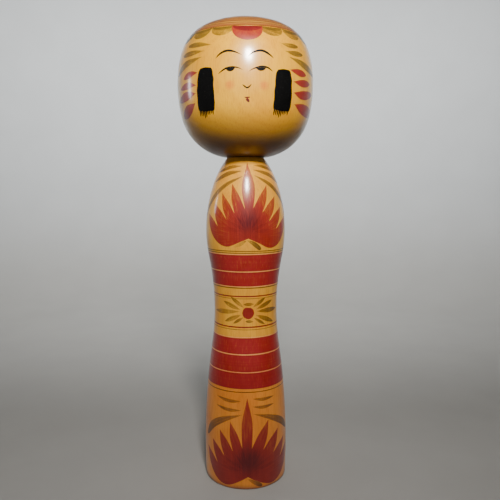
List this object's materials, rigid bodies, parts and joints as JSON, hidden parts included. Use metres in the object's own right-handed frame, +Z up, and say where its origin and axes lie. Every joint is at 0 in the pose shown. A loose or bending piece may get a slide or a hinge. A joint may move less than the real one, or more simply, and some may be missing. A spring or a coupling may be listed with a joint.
{
  "type": "kokeshi doll",
  "caption": "Turned wooden doll: a waisted standing body with painted bands and a separate round head that turns on the body's neck tenon.",
  "frame": {"origin": "centre of the foot, on the surface that the doll stands on", "axes": "+Z up along the lathe axis; the painted face looks along -Y at rest; +X is the doll's left side, which is a viewer's right"},
  "size_m": [0.087, 0.087, 0.3017],
  "materials": {
    "body_wood": "waxed turned wood with brushed dye bands and flowers",
    "head_wood": "waxed turned wood with a brushed face, hair and cap"
  },
  "bodies": {
    "body": {"body": "body_wood"},
    "head": {"head": "head_wood"}
  },
  "joints": [
    {"name": "head_turn", "type": "hinge", "parent": "body", "child": "head", "pos_m": [0, 0, 0.2152], "axis": [0, 0, 1], "continuous": true}
  ]
}
